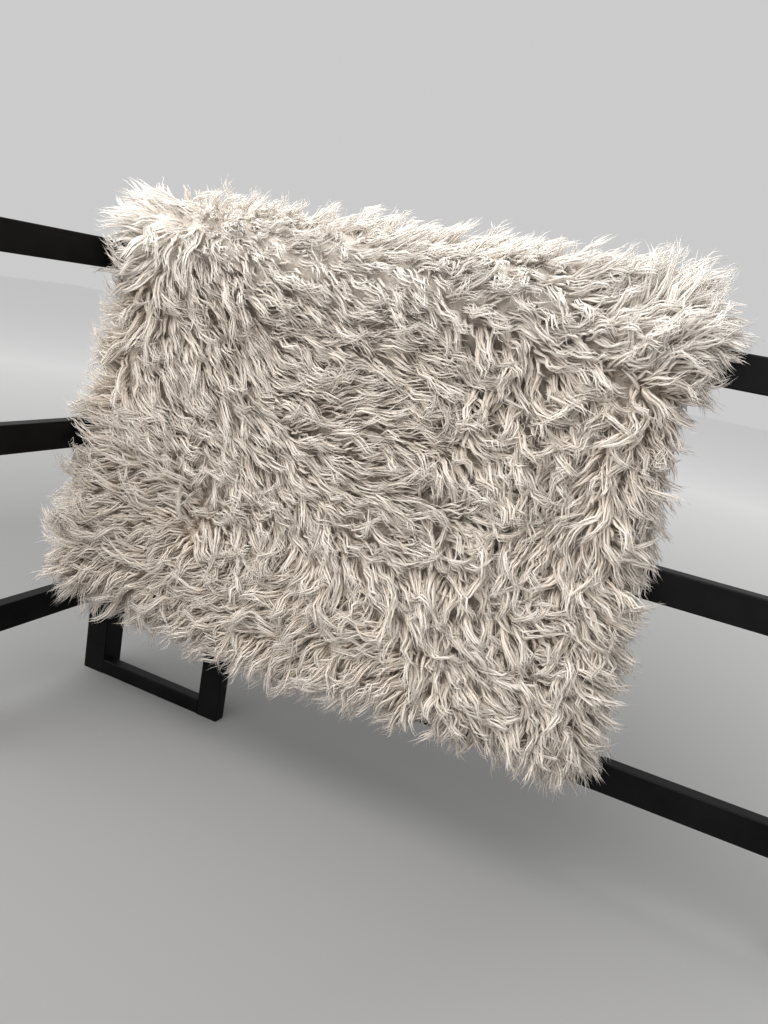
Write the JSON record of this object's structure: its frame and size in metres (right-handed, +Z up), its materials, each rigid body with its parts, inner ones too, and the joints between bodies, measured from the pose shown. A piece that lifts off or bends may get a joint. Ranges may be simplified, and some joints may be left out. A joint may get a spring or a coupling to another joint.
{
  "type": "shaggy wool rug over a railing rail",
  "caption": "Long-pile cream wool rug folded over the top rail of a plain black steel railing that turns a corner and stands on its posts.",
  "frame": {"origin": "on the floor, in the middle of the foot of the corner post", "axes": "+X along the railing's long run, +Y away from the rug's shown front half, +Z up"},
  "size_m": [1.66, 0.5876, 1.136],
  "materials": {
    "wool_pile": "long hand-spun wool yarn, cream, matt with a soft sheen",
    "black_steel": "satin black powder coat"
  },
  "bodies": {
    "root": {"base_bar": "black_steel", "corner_post": "black_steel", "end_post": "black_steel", "low_rail_long": "black_steel", "low_rail_short": "black_steel", "mid_rail_long": "black_steel", "mid_rail_short": "black_steel", "return_low_rail": "black_steel", "return_mid_rail": "black_steel", "return_post": "black_steel", "return_top_rail": "black_steel", "rim_back_hem": "wool_pile", "rim_back_left": "wool_pile", "rim_back_right": "wool_pile", "rim_front_hem": "wool_pile", "rim_front_left": "wool_pile", "rim_front_right": "wool_pile", "rim_top_left": "wool_pile", "rim_top_right": "wool_pile", "rug": "wool_pile", "slim_post": "black_steel", "top_rail": "black_steel"}
  },
  "joints": []
}
